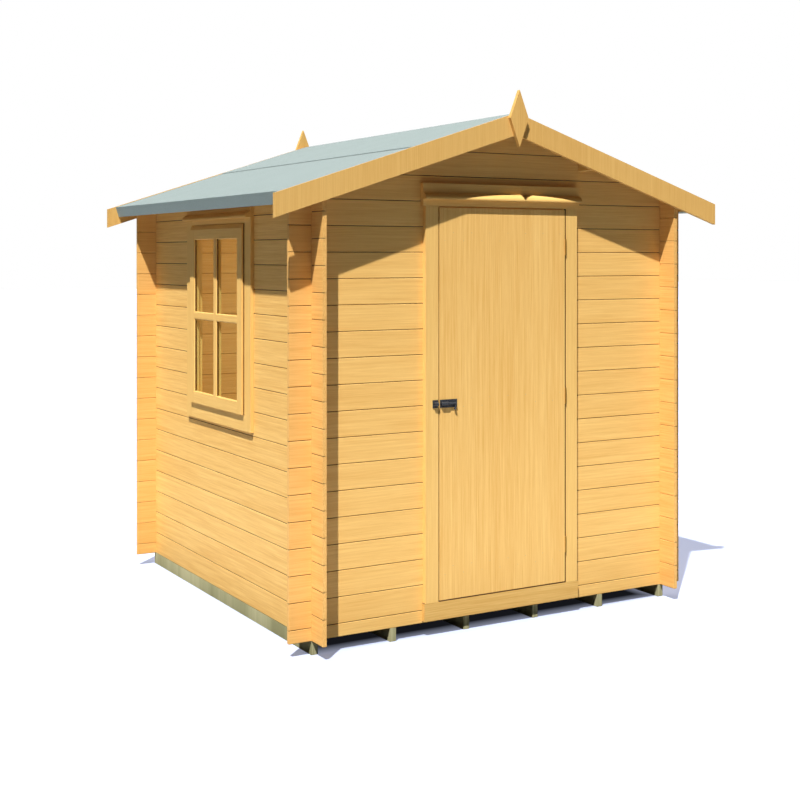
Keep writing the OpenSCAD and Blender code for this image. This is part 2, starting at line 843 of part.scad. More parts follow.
// The jambs run the full height, with the head and the sill between them
module window_surround() {
    rail_y = window_half_w - seat_gap;
    color(frame_color) translate([0, window_shift, 0]) {
        for (s = [-1, 1]) scale([1, s, 1])
            faced_lining([window_half_w, window_w / 2], [surround_z, surround_top_z],
                         [window_half_w, window_half_w + lining_t],
                         [lining_z, lining_top_z]);
        faced_lining([-rail_y, rail_y], [window_head_z, surround_top_z],
                     [-rail_y, rail_y], [window_head_z, lining_top_z]);
        faced_lining([-rail_y, rail_y], [surround_z, sill_top_z],
                     [-rail_y, rail_y], [lining_z, sill_top_z]);
    }
}

module window_drip_moulding() {
    color(frame_color)
        translate([-wall_w / 2 - surround_proud - seat_gap, window_shift,
                   window_head_z + window_drip_up])
            rotate(-90) drip_moulding(window_w / 2);
}

// Strips in the lining that the casement closes against
module window_stops() {
    x0 = casement_x + casement_t + seat_gap;
    depth = -wall_w / 2 + log_t - x0;
    out_y = window_half_w - seat_gap;
    z0 = sill_top_z + seat_gap;
    z1 = window_head_z - seat_gap;
    color(frame_color) translate([x0, window_shift, 0]) {
        for (y = [-out_y, out_y - window_stop_w])
            translate([0, y, z0]) cube([depth, window_stop_w, z1 - z0]);
        for (z = [z0, z1 - window_stop_w])
            translate([0, -out_y + window_stop_w + seat_gap, z])
                cube([depth, 2 * (out_y - window_stop_w - seat_gap), window_stop_w]);
    }
}

// Stiles run the full height, rails fit between, all grooved for the glass
module window_casement() {
    top_z = casement_top_z;
    bevel_x = casement_x + casement_bevel / 2;
    color(frame_color) translate([0, window_shift, 0]) difference() {
        union() {
            for (y = [-casement_w / 2, casement_w / 2 - stile_w])
                translate([casement_x, y, casement_z])
                    cube([casement_t, stile_w, top_z - casement_z]);
            for (rail = [[casement_z, stile_w], [top_z - top_rail_h, top_rail_h]])
                translate([casement_x, -pane_w / 2 + seat_gap, rail[0]])
                    cube([casement_t, pane_w - 2 * seat_gap, rail[1]]);
        }
        translate([glass_x - seat_gap, -pane_w / 2 - rebate, pane_z - rebate])
            cube([glass_t + 2 * seat_gap, pane_w + 2 * rebate, pane_h + 2 * rebate]);
        along_y(-casement_w, casement_w)
            polygon([[casement_x - 1, top_z - casement_bevel - 2],
                     [bevel_x + 1, top_z + 2], [casement_x - 1, top_z + 2]]);
    }
}

// Bars outside and inside the glass, an upright one and one across each side
module window_bars() {
    mid_z = pane_z + pane_h / 2;
    inner_x = glass_x + glass_t + seat_gap;
    inner_d = casement_x + casement_t - inner_x;
    color(frame_color) translate([0, window_shift, mid_z])
        for (bar = [[casement_x, glass_in - seat_gap], [inner_x, inner_d]]) {
            translate([bar[0], -bar_w / 2, -pane_h / 2 + seat_gap])
                cube([bar[1], bar_w, pane_h - 2 * seat_gap]);
            for (s = [-1, 1]) scale([1, s, 1])
                translate([bar[0], bar_w / 2 + seat_gap, -bar_w / 2])
                    cube([bar[1], pane_w / 2 - bar_w / 2 - 2 * seat_gap, bar_w]);
        }
}

module window_glass() {
    edge = rebate - 1;
    color(glass_color, 0.35)
        translate([glass_x, window_shift - pane_w / 2 - edge, pane_z - edge])
            cube([glass_t, pane_w + 2 * edge, pane_h + 2 * edge]);
}

bearers();
floor_boards();
front_starter_log();
front_logs_left();
front_logs_right();
front_gable_logs();
rear_wall_logs();
rear_gable_logs();
left_logs_below_window();
left_logs_before_window();
left_logs_behind_window();
left_logs_above_window();
right_wall_logs();
ridge_purlin();
side_purlins();
roof_boards_left();
roof_boards_right();
eaves_battens();
felt_left();
felt_right();
felt_ridge();
bargeboards_front();
bargeboards_rear();
finial_front();
finial_rear();
door_jamb_left();
door_jamb_right();
door_head();
door_threshold();
door_stops();
door_drip_moulding();
door_boards();
door_ledges();
door_braces();
hinges_on_door();
hinges_on_frame();
bolt_plate();
bolt();
bolt_keeper();
window_surround();
window_drip_moulding();
window_stops();
window_casement();
window_bars();
window_glass();
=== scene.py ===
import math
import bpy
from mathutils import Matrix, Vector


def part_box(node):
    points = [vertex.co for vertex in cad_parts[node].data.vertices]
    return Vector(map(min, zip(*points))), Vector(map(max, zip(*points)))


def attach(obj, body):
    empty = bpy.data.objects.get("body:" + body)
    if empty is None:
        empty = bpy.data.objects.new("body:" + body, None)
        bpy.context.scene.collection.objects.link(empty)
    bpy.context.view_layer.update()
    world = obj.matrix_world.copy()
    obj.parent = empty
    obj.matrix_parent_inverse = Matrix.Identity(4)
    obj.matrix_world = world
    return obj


bl_info = {
    "name": "Garden log cabin finishes",
    "version": (1, 0, 0),
    "blender": (4, 5, 0),
    "location": "3D View > Sidebar > Log Cabin",
    "description": "Stained timber, roofing felt, glass, ironmongery and fixings for a small log cabin",
    "category": "Object",
}

import bmesh
import bpy
from mathutils import Matrix, Vector

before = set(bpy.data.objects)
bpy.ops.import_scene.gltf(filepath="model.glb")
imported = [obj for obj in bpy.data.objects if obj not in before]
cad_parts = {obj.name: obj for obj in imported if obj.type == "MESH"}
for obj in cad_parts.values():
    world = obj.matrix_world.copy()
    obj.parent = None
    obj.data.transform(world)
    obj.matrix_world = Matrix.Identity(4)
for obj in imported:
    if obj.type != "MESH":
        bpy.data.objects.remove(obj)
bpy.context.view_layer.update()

# Waves per metre of the patterns in timber: along the grain, through it and across
# it. Streaks are 16 mm wide. Fibres are finer in real wood, and are drawn 4 mm wide
# and 200 mm long so that they show.
PITH_WAVES = (1.3, 5.0, 5.0)
STREAK_WAVES = (1.6, 62.0, 62.0)
FIBRE_WAVES = (5.0, 235.0, 235.0)
# How far the pith wanders along a log, which makes the arched grain
PITH_STRAY = (0.0, 0.03, 0.05)
# The first place that a board is cut from, out from the pith and across it, and how
# far such places differ from board to board
FIRST_PLACE = (0.02, -0.03)
BOARD_SHIFT = (9.0, 0.05, 0.06)
# Left of every piece: strips of one tone are counted from here where no boards are
FAR_LEFT = -2.0
# About how far the walls are from the middle of the cabin, for the frames in them
WALL_OUT = 1.0
# Dark bands on the window, painted shade by the casement and the dark foot of the
# upright beads, start in the room or end beyond the casement, where there is
# nothing for them to darken
WITHIN = 0.9
BEYOND = 1.0
# How far a painted line of shade reaches to each side of an edge
SHADE_LINE = 0.0006
# How far under a face a band of painted shade starts, so that the face stays clean
CLEAN = 0.0004
# How far inside a joint the grain turns, so that the joint's face has one grain
HAIR = 0.0001


def linear(code):
    """An sRGB hex colour as the linear values that shaders work in."""
    parts = [int(code[i:i + 2], 16) / 255 for i in (0, 2, 4)]
    return tuple(c / 12.92 if c <= 0.04045 else ((c + 0.055) / 1.055) ** 2.4 for c in parts)


def colour(name, description, code):
    """A colour property whose default is an sRGB hex value."""
    return bpy.props.FloatVectorProperty(
        name=name, description=description, subtype="COLOR", size=3,
        min=0.0, max=1.0, default=linear(code))


def length(name, description, default):
    """A length property in metres."""
    return bpy.props.FloatProperty(
        name=name, description=description, unit="LENGTH", subtype="DISTANCE",
        min=0.0, precision=4, default=default)


def share(name, description, default, top=1.0):
    """A plain number property from nothing up to top."""
    return bpy.props.FloatProperty(
        name=name, description=description, min=0.0, max=top, default=default)


def count(name, description, default):
    """A whole number property from one up."""
    return bpy.props.IntProperty(name=name, description=description, min=1, default=default)


def angle(name, description, degrees):
    """An angle property whose default is given in degrees."""
    return bpy.props.FloatProperty(
        name=name, description=description, unit="ROTATION", subtype="ANGLE",
        default=math.radians(degrees))


def travel(name, description, default):
    """The direction in which the light of a lamp travels."""
    return bpy.props.FloatVectorProperty(
        name=name, description=description, subtype="XYZ", size=3, default=default)


def spot(name, description, default):
    """A place in metres."""
    return bpy.props.FloatVectorProperty(
        name=name, description=description, unit="LENGTH", subtype="TRANSLATION", size=3,
        default=default)


class CabinTimber(bpy.types.PropertyGroup):
    """Colours, grain and sizes of the cabin's timber"""

    log_light: colour("Log earlywood", "Lighter colour of the stained logs", "FED382")
    log_dark: colour("Log latewood", "Darker grain colour of the stained logs", "DCA352")
    trim_light: colour("Trim earlywood", "Lighter colour of frames and mouldings", "F9CF80")
    trim_dark: colour("Trim latewood", "Darker grain colour of frames and mouldings", "DFAA57")
    barge_light: colour("Bargeboard earlywood", "Lighter colour of the bargeboards", "EEC376")
    barge_dark: colour("Bargeboard latewood", "Darker grain colour of the bargeboards",
                       "D59F50")
    sill_light: colour("Threshold earlywood", "Lighter colour of the threshold", "E5BB70")
    sill_dark: colour("Threshold latewood", "Darker grain colour of the threshold", "CE9A4B")
    door_light: colour("Door earlywood", "Lighter colour of the door boards", "F8CD7F")
    door_dark: colour("Door latewood", "Darker grain colour of the door boards", "DFA754")
    board_light: colour("Board earlywood", "Lighter colour of roof and floor boards", "C9A873")
    board_dark: colour("Board latewood", "Darker grain colour of roof and floor boards",
                       "A98550")
    bearer_light: colour("Bearer light", "Lighter colour of the treated bearers", "C2BC92")
    bearer_dark: colour("Bearer dark", "Darker colour of the treated bearers", "98946C")
    # The same colour also paints the shade in the gaps by the door and the casement
    stain: colour("Pooled stain", "Colour of the stain in joints and corners", "5E3A18")
    # Log ends are tinted warmer, partly for soaked-in stain and partly as painted bounce light by the
    # corners
    end_tint: colour("End tint", "What the extra stain at the ends of a log does to it",
                     "FDF5F3")
    ring_gap: length("Ring spacing", "Distance between growth rings on the surface", 0.009)
    grain: share("Grain contrast", "How strongly light and dark grain differ", 0.26)
    side_grain: share("Side wall grain", "How strongly it differs in the side walls", 0.364)
    door_grain: share("Door grain", "How strongly it differs in the door boards", 0.416)
    sill_grain: share("Threshold grain", "How strongly it differs in the threshold", 0.52)
    # Painted shade: how much lightness the bargeboards' upward faces keep
    barge_top_shade: share("Bargeboard tops", "Lightness left on the weathered tops of the "
                     "bargeboards", 0.45)
    seam: length("Seam", "How far the stain in the log joints reaches over the faces", 0.0016)
    log_cover: length("Log cover", "Height that one log adds to a wall", 0.114)
    half_log: length("Half log", "Half the thickness of a wall log", 0.0095)
    # Painted warm bounce light reaches this far along the wall, together with the end stain
    log_end: length("Log end", "How far from the corner a log's end is warmer", 0.06)
    # Painted shade: the dark lines in the rebate beside the door and on the threshold under it
    rebate: length("Jamb rebate", "Depth of the dark line beside the door", 0.014)
    sill_shade_depth: length("Threshold edge", "Depth of the dark line under the door", 0.025)
    stop_reach: length("Door stop", "How far a door stop reaches in from the jamb", 0.0145)
    surround_board: length("Surround board", "Width of the boards round the window", 0.072)
    stile: length("Stile", "Width of the stiles of the casement", 0.054)
    barge_strip: length("Bargeboard strip", "Strips of one tone on the bargeboards", 0.4)
    purlin_strip: length("Purlin strip", "Strips of one tone on purlins and battens", 0.3)
    jamb_strip: length("Jamb strip", "Strips of one tone on the jambs", 0.35)
    bearer_strip: length("Bearer strip", "Strips of one tone on the bearers", 0.2)
    # Painted shade: the casement's dark foot, in its gap by the surround
    foot: length("Casement foot", "Dark foot of the casement, out from the surround", 0.004)
    glass_line: length("Glass line", "Dark foot of the beads, out from the glass", 0.006)
    half_bar: length("Half bar", "Half the width of a glazing bar", 0.014)
    bead: length("Bead width", "How far the glazing beads reach over the glass", 0.005)
    bead_gap: length("Bead gap", "Play round the glazing beads", 0.0004)
    bead_land: length("Bead land", "Flat that the bevel leaves on a glazing bead", 0.0008)
    door_boards: count("Door boards", "Boards across the door", 7)
    roof_boards: count("Roof boards", "Boards along one side of the roof", 23)
    floor_boards: count("Floor boards", "Boards from the front to the back", 20)


class CabinRoof(bpy.types.PropertyGroup):
    """Colours of the mineral roofing felt"""

    felt_light: colour("Felt granules", "Colour of the pale mineral granules", "7F8B89")
    felt_dark: colour("Felt base", "Colour of the felt between the granules", "6F7B78")
    # Painted light: how much paler the sideways fold is made than the slopes
    fold_painted_light: share("Fold lightness", "How much paler the felt is where it is folded down",
                     1.95, 3.0)
    granule: length("Granule size", "Spacing of the mineral granules", 0.004)
    bitumen: colour("Bitumen", "Colour of the bitumen along the lap", "2B2F31")
    ooze: length("Ooze", "How far bitumen has come out along the lap", 0.008)


class CabinMetal(bpy.types.PropertyGroup):
    """Colours and sizes of the ironmongery and its fixings"""

    black: colour("Black finish", "Colour of the bolt and its plates", "1D2026")
    worn: colour("Worn finish", "Colour of the bolt where its enamel is thin", "5A6068")
    brass: colour("Brass", "Colour of the plated hinges", "C29A52")
    zinc: colour("Zinc", "Colour of the nails", "A9A7A0")
    plate: length("Plate", "Thickness of the plates of the bolt and the keeper", 0.0025)
    screw_r: length("Screw head radius", "Radius of a screw head", 0.00256)
    screw_end: length("Screw to end", "From a screw to the end of its plate", 0.006)
    screw_edge: length("Screw to edge", "From a screw to the edge of its plate", 0.0055)
    nail_r: length("Nail head radius", "Radius of a lost-head nail in the door", 0.0014)
    nail_t: length("Nail head", "Thickness of a nail head", 0.0003)
    nail_free: length("Nail clearance", "Nails keep this far from the bolt", 0.01)


class CabinGlass(bpy.types.PropertyGroup):
    """The window pane"""

    tint: colour("Glass tint", "Colour of light that passes the pane", "EEF4F0")
    reflection: share("Reflection", "Share of light that the pane mirrors", 0.01)


class CabinStage(bpy.types.PropertyGroup):
    """Floor, lamps and camera"""

    floor: colour("Floor", "Colour of the floor", "A7AEC6")
    floor_size: length("Floor size", "Half the side of the floor", 60.0)
    # A painted pool of bounce light: the floor bounces more near the cabin than far off
    bounce_near: colour("Near bounce", "Floor near the cabin, to light that bounces off it",
                        "CCD5E1")
    bounce_far: colour("Far bounce", "Floor far away, to light that bounces off it", "4E4E4E")
    near: length("Near floor", "How far out the floor bounces as it does near the cabin", 1.6)
    far: length("Far floor", "How far out the floor bounces as it does far away", 4.2)
    beside: length("Floor beside", "How far from the base the floor's bounce is full", 0.6)
    # Painted shade: the floor is dark under the cabin
    under: length("Floor under", "How far in under the base the floor goes dark", 0.1)
    under_light: share("Light under", "Share of light on the floor under the base", 0.03)
    # Painted sky light: how much the floor glows in its shade
    shade: share("Floor shade", "Light from the sky that the floor's shade shows", 0.62, 2.0)
    gleam: share("Gleam", "Strength of the studio walls in reflections", 0.4, 2.0)
    ambient: share("Ambient strength", "Strength of the light from all round", 0.025, 2.0)
    sun: share("Sun strength", "Strength of the sun lamp", 6.5, 20.0)
    sun_size: angle("Sun size", "Apparent size of the sun, which softens shadows", 0.8)
    sun_travel: travel("Sun travel", "The way that the sun's light goes", (1.04, 1.0, -2.42))
    fill: share("Fill strength", "Strength of the wide lamp behind the cabin", 2.6, 20.0)
    fill_size: angle("Fill size", "Apparent size of the fill lamp", 70.0)
    fill_travel: travel("Fill travel", "The way that the fill's light goes",
                        (-0.5, -0.55, -0.7))
    room: share("Room strength", "Power of the lamp inside the cabin", 22.0, 100.0)
    room_colour: colour("Room colour", "Colour of the lamp inside the cabin", "F0FBF8")
    room_size: length("Room lamp size", "Radius of the lamp inside the cabin", 0.3)
    room_place: spot("Room lamp place", "Where the lamp inside the cabin is", (0.0, 0.0, 1.2))
    focal: bpy.props.FloatProperty(
        name="Focal length", description="Focal length of the camera in millimetres",
        min=10.0, max=300.0, default=59.16)
    lens_shift: bpy.props.FloatProperty(
        name="Lens shift", description="How far the lens is shifted up, so that uprights "
        "stay upright", default=-0.1797)
    eye: spot("Camera place", "Where the camera is", (-3.4539, -5.9905, 1.6949))
    bearing: angle("Camera bearing", "The way that the level camera looks, from the +Y axis",
                   -30.153)


def add(tree, kind, inputs=None, **settings):
    """Adds a node with its settings and its inputs, each a value or a socket to link."""
    made = tree.nodes.new(kind)
    for name, value in settings.items():
        setattr(made, name, value)
    for key, value in (inputs or {}).items():
        if isinstance(value, bpy.types.NodeSocket):
            tree.links.new(value, made.inputs[key])
        else:
            made.inputs[key].default_value = value
    return made


def maths(tree, operation, *values, clamp=False):
    """The result of a sum on numbers."""
    return add(tree, "ShaderNodeMath", dict(enumerate(values)), operation=operation,
               use_clamp=clamp).outputs[0]


def vectors(tree, operation, *values):
    """The result of a sum on vectors."""
    return add(tree, "ShaderNodeVectorMath", dict(enumerate(values)),
               operation=operation).outputs[0]


def scaled(tree, vector, factor):
    """A vector or a colour times a number."""
    return add(tree, "ShaderNodeVectorMath", {0: vector, "Scale": factor},
               operation="SCALE").outputs[0]


def size_of(tree, vector):
    """The length of a vector."""
    return add(tree, "ShaderNodeVectorMath", {0: vector}, operation="LENGTH").outputs["Value"]


def split(tree, vector):
    """The parts of a vector, by the names X, Y and Z."""
    return add(tree, "ShaderNodeSeparateXYZ", {0: vector}).outputs


def joined(tree, x, y, z):
    """A vector of three parts."""
    return add(tree, "ShaderNodeCombineXYZ", {0: x, 1: y, 2: z}).outputs[0]


def stretch(tree, value, low, high, first=0.0, last=1.0):
    """Turns low to high into first to last, and holds it there beyond both ends."""
    return add(tree, "ShaderNodeMapRange",
               {0: value, 1: low, 2: high, 3: first, 4: last}).outputs[0]


def noise(tree, place, scale, detail, **inputs):
    """The outputs of a noise pattern."""
    return add(tree, "ShaderNodeTexNoise",
               {"Vector": place, "Scale": scale, "Detail": detail, **inputs}).outputs


def opaque(shade):
    """A colour with its alpha, or a socket as it is."""
    return shade if isinstance(shade, bpy.types.NodeSocket) else (*shade, 1.0)


def mix(tree, amount, first, second, **settings):
    """The colour between two colours."""
    return add(tree, "ShaderNodeMix", {0: amount, 6: opaque(first), 7: opaque(second)},
               data_type="RGBA", **settings).outputs[2]


def new_material(name):
    """A material with an empty node tree and its output node."""
    made = bpy.data.materials.new(name)
    made.use_nodes = True
    made.node_tree.nodes.clear()
    return made, made.node_tree, made.node_tree.nodes.new("ShaderNodeOutputMaterial")


def finish(tree, output, colour_socket, roughness, **inputs):
    """The shader of an opaque surface."""
    shader = add(tree, "ShaderNodeBsdfPrincipled",
                 {"Base Color": colour_socket, "Roughness": roughness, **inputs})
    tree.links.new(shader.outputs[0], output.inputs["Surface"])


def relief(tree, height, strength, depth):
    """The normals of a surface with a fine relief, depth metres deep."""
    return add(tree, "ShaderNodeBump",
               {"Strength": strength, "Distance": depth, "Height": height}).outputs[0]


def off_middle(tree, place, middle):
    """How far a coordinate lies to either side of middle."""
    return maths(tree, "ABSOLUTE", maths(tree, "SUBTRACT", place, middle))


def in_band(tree, distance, near, far):
    """1 where a distance is between near and far, and 0 elsewhere."""
    return maths(tree, "COMPARE", distance, (near + far) / 2, (far - near) / 2)


def grain_places(tree, axes, along, upright):
    """Places along the fibres, through the thickness and across the width.

    The last result is 1 where upright turns the grain up and 0 elsewhere, or None.
    """
    turns = {"X": "XYZ", "Y": "YXZ", "Z": "ZXY"}
    a, b, c = (axes[k] for k in turns[along])
    if upright is None:
        return a, b, c, None
    axis, middle, half, side = upright
    test = "LESS_THAN" if side == "within" else "GREATER_THAN"
    turned = maths(tree, test, off_middle(tree, axes[axis], middle), half)
    other = "Y" if along == "Y" else "X"
    both = add(tree, "ShaderNodeMix",
               {0: turned, 4: joined(tree, a, b, c),
                5: joined(tree, axes["Z"], b, axes[other])}, data_type="VECTOR")
    parts = split(tree, both.outputs[1])
    return parts["X"], parts["Y"], parts["Z"], turned


def wood_tone(tree, grain, own, ring, contrast):
    """How light timber is, from 0 to 1, and the fibres, which also give its relief.

    own is a number from 0 to 1 that differs from board to board.
    """
    drift = noise(tree, vectors(tree, "MULTIPLY", grain, PITH_WAVES), 1.0, 2.0)["Color"]
    core = vectors(tree, "ADD", grain, vectors(tree, "MULTIPLY", drift, PITH_STRAY))
    radius = size_of(tree, vectors(tree, "MULTIPLY", core, (0.0, 1.0, 1.0)))
    rings = maths(tree, "SINE", maths(tree, "MULTIPLY", radius, math.tau / ring))
    fibres = noise(tree, vectors(tree, "MULTIPLY", grain, FIBRE_WAVES), 1.0, 4.0,
                   Roughness=0.7)["Fac"]
    streaks = noise(tree, vectors(tree, "MULTIPLY", grain, STREAK_WAVES), 1.0, 3.0)["Fac"]

    # Each pattern moves the tone up and down from the middle, by its own weight
    tone = maths(tree, "MULTIPLY_ADD", rings, 0.16 * contrast, 0.5)
    for pattern, weight in ((fibres, 4.0), (streaks, 2.0), (own, 0.3)):
        level = maths(tree, "SUBTRACT", pattern, 0.5)
        tone = maths(tree, "MULTIPLY_ADD", level, weight * contrast, tone)
    return maths(tree, "ADD", tone, 0.0, clamp=True), fibres


def corner_mask(tree, axes, corner):
    """1 where all the bands of a corner hold, each (axis, middle, near, far)."""
    bands = [in_band(tree, off_middle(tree, axes[axis], middle), near, far)
             for axis, middle, near, far in corner]
    mask = bands[0]
    for band in bands[1:]:
        mask = maths(tree, "MULTIPLY", mask, band)
    return mask


def wood(name, light, dark, along, boards=None, upright=None, centre=0.0, ring=0.009,
         contrast=0.5, roughness=0.55, stain=None, seam=0.0, corner=(), top=1.0,
         ends=None, seed=0.0):
    """Solid timber whose grain runs along one axis.

    boards is (axis, start, width) where like boards lie side by side, and each
    gets its own pith and tone. upright is (axis, middle, half, side): the grain
    runs up past half from middle, as in the stiles of a frame, or with the side
    "within" up to half, as in a glazing bar.
    centre is the middle of the piece's thickness from the ridge line. seam is how
    far the stain that pooled in the joints between boards reaches over their faces.
    corner is bands of (axis, middle, near, far) that all hold, from near to far away
    from middle, where the surface is painted in the dark stain colour: painted shade
    in the rebate beside the door, on the threshold under it and in the gap beside the
    casement, and a dark foot on the upright beads by the glass. top is how much of
    its lightness a face keeps that looks up, as painted shade on upward faces. ends
    is (reach, run, tint): reach is from the middle of a log to the corner of the
    walls, and over about run before it the wood turns to the tint of log ends, partly
    for stain soaked into the ends and partly as painted warm bounce light beside the
    corner.
    """
    material, tree, output = new_material(name)
    places = add(tree, "ShaderNodeTexCoord").outputs
    axes = split(tree, places["Object"])
    a, b, c, turned = grain_places(tree, axes, along, upright)
    number = seed
    if upright:
        # Upright parts are cut from another board
        number = maths(tree, "MULTIPLY_ADD", turned, 3.0, seed)
    if boards:
        axis, start, width = boards
        step = maths(tree, "DIVIDE", maths(tree, "SUBTRACT", axes[axis], start), width)
        number = maths(tree, "ADD", maths(tree, "FLOOR", step), seed)
        across = maths(tree, "FRACT", step)
        c = maths(tree, "MULTIPLY_ADD", across, width, -width / 2)
    # Each board is cut from its own place in its own tree
    chance = add(tree, "ShaderNodeTexWhiteNoise", {"W": number},
                 noise_dimensions="1D").outputs
    b = maths(tree, "ABSOLUTE", b)
    shift = vectors(tree, "MULTIPLY_ADD", chance["Color"], BOARD_SHIFT,
                    (0.0, FIRST_PLACE[0] - centre, FIRST_PLACE[1]))
    grain = vectors(tree, "ADD", joined(tree, a, b, c), shift)
    tone, fibres = wood_tone(tree, grain, chance["Value"], ring, contrast)
    surface = mix(tree, tone, dark, light)

    # Dark bands in the stain colour: painted shade in the gaps by the door and the casement, and the
    # dark foot of the upright beads
    if corner:
        surface = mix(tree, corner_mask(tree, axes, corner), surface, stain)
    # Painted shade: faces that look up keep only part of their lightness
    if top < 1.0:
        upward = split(tree, places["Normal"])["Z"]
        surface = scaled(tree, surface, stretch(tree, upward, 0.5, 0.8, 1.0, top))
    if ends:
        # The wood turns warmer towards the ends of a log: stain soaked into the ends, and painted warm
        # bounce light on the wall beside the corner
        reach, run, tint = ends
        end_and_bounce = stretch(tree, maths(tree, "ABSOLUTE", a), reach - run, reach + run / 3)
        warm = mix(tree, 1.0, surface, tint, blend_type="MULTIPLY")
        surface = mix(tree, end_and_bounce, surface, warm)
    if seam:
        # The stain is thick and dark where it pooled in the joints, less so indoors
        clean = stretch(tree, b, centre - 0.001, centre + 0.001, 0.6, 0.0)
        off = off_middle(tree, across, 0.5)
        pooled = stretch(tree, off, 0.5 - 1.4 * seam / width, 0.5 - 0.6 * seam / width,
                         1.0, clean)
        surface = mix(tree, pooled, stain, surface)
    gloss = stretch(tree, fibres, 0.3, 0.7, roughness - 0.07, roughness + 0.1)
    finish(tree, output, surface, gloss,
           **{"Normal": relief(tree, fibres, 0.35, 0.0003), "Specular IOR Level": 0.2})
    return material


def finish_nodes(material, names):
    """Gives CAD nodes their material."""
    for name in names:
        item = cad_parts[name]
        if not item.material_slots:
            item.data.materials.append(material)
        for place in item.material_slots:
            place.material = material


def new_object(name, mesh, materials):
    """Makes a finished mesh into an object in the scene."""
    data = bpy.data.meshes.new(name)
    mesh.to_mesh(data)
    mesh.free()
    for material in materials:
        data.materials.append(material)
    item = bpy.data.objects.new(name, data)
    bpy.context.scene.collection.objects.link(item)
    return item


def piece(name, mesh, materials, body):
    """Makes a finished mesh into a piece that rides on a body."""
    bmesh.ops.recalc_face_normals(mesh, faces=mesh.faces)
    item = new_object(name, mesh, materials)
    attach(item, body)


def facing(direction, point):
    """The place of a shape drawn about the origin, turned so its +Z faces direction."""
    turn = Vector(direction).to_track_quat("Z", "Y").to_matrix().to_4x4()
    return Matrix.Translation(point) @ turn


class CABIN_OT_finish_logs(bpy.types.Operator):
    """Finish the wall logs as planed spruce with a honey stain"""

    bl_idname = "cabin.finish_logs"
    bl_label = "Finish wall logs"

    def execute(self, context):
        timber = context.scene.cabin_timber
        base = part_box("floor_boards")[0].z
        cover = timber.log_cover
        shared = {
            "centre": -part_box("front_starter_log")[0].y - timber.half_log,
            # Ends: soaked-in stain and painted warm bounce light by the corners
            "ends": (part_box("bearers")[1].x, timber.log_end, timber.end_tint),
            "ring": timber.ring_gap,
            "seam": timber.seam,
            "stain": timber.stain,
        }
        # Planed spruce with a honey stain: satin, with fine fibres along each log.
        # End wall logs start from a half log, so their joints are half a cover up.
        end_walls = wood("planed spruce logs, honey stain", timber.log_light,
                         timber.log_dark, "X", boards=("Z", base - cover / 2, cover),
                         contrast=timber.grain, seed=3.0, **shared)
        finish_nodes(end_walls,
                     ("front_starter_log", "front_logs_left", "front_logs_right",
                      "front_gable_logs", "rear_wall_logs", "rear_gable_logs"))
        side_walls = wood("planed spruce side logs, honey stain", timber.log_light,
                          timber.log_dark, "Y", boards=("Z", base, cover),
                          contrast=timber.side_grain, seed=40.0, **shared)
        finish_nodes(side_walls,
                     ("left_logs_below_window", "left_logs_before_window",
                      "left_logs_behind_window", "left_logs_above_window",
                      "right_wall_logs"))
        return {"FINISHED"}


class CABIN_OT_finish_trim(bpy.types.Operator):
    """Finish the bargeboards, finials, purlins and battens"""

    bl_idname = "cabin.finish_trim"
    bl_label = "Finish roof trim"

    def execute(self, context):
        timber = context.scene.cabin_timber
        shared = {"ring": timber.ring_gap, "contrast": timber.grain}
        # Bargeboards of planed redwood have taken more stain, and their grain shows
        # upright; their upward faces are darkened as painted shade
        verge = wood("planed redwood bargeboards", timber.barge_light, timber.barge_dark,
                     "Z", boards=("X", FAR_LEFT, timber.barge_strip),
                     top=timber.barge_top_shade, seed=13.0, **shared)
        finish_nodes(verge,
                     ("finial_front", "finial_rear", "bargeboards_front",
                      "bargeboards_rear"))
        # Purlins and battens of planed redwood, with grain from front to rear
        lengths = wood("planed redwood lengths", timber.trim_light, timber.trim_dark, "Y",
                       boards=("X", FAR_LEFT, timber.purlin_strip), seed=23.0,
                       **shared)
        finish_nodes(lengths,
                     ("ridge_purlin", "side_purlins", "eaves_battens"))
        return {"FINISHED"}


class CABIN_OT_finish_door_frame(bpy.types.Operator):
    """Finish the jambs, head, threshold, stops and drip moulding of the door"""

    bl_idname = "cabin.finish_door_frame"
    bl_label = "Finish door frame"

    def execute(self, context):
        timber = context.scene.cabin_timber
        light, dark = timber.trim_light, timber.trim_dark
        shared = {"ring": timber.ring_gap, "contrast": timber.grain}
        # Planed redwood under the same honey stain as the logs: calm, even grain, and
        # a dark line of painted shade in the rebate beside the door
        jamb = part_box("door_jamb_right")[0]
        jambs = wood("planed redwood uprights", light, dark, "Z",
                     boards=("X", FAR_LEFT, timber.jamb_strip),
                     stain=timber.stain, seed=11.0,
                     corner=(("X", 0.0, jamb.x - SHADE_LINE, jamb.x + SHADE_LINE),
                             ("Y", 0.0, -jamb.y - timber.rebate, -jamb.y - CLEAN)),
                     **shared)
        finish_nodes(jambs, ("door_jamb_left", "door_jamb_right"))
        rails = wood("planed redwood rails", light, dark, "X", centre=WALL_OUT,
                     seed=17.0, **shared)
        finish_nodes(rails, ("door_head", "door_drip_moulding"))
        # Feet have rubbed the threshold: duller, with stronger grain
        low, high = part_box("door_threshold")
        # Painted shade: a dark line along the top of the threshold, just under the door
        sill = wood("planed redwood threshold", timber.sill_light, timber.sill_dark, "X",
                    centre=WALL_OUT, stain=timber.stain, ring=timber.ring_gap,
                    contrast=timber.sill_grain, seed=19.0,
                    corner=(("Z", 0.0, high.z - SHADE_LINE, high.z + SHADE_LINE),
                            ("Y", 0.0, -low.y - timber.sill_shade_depth, -low.y - CLEAN)))
        finish_nodes(sill, ("door_threshold",))
        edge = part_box("door_stops")[1].x
        stops = wood("planed redwood door stops", light, dark, "X",
                     upright=("X", 0.0, edge - timber.stop_reach, "past"), seed=31.0,
                     **shared)
        finish_nodes(stops, ("door_stops",))
        return {"FINISHED"}


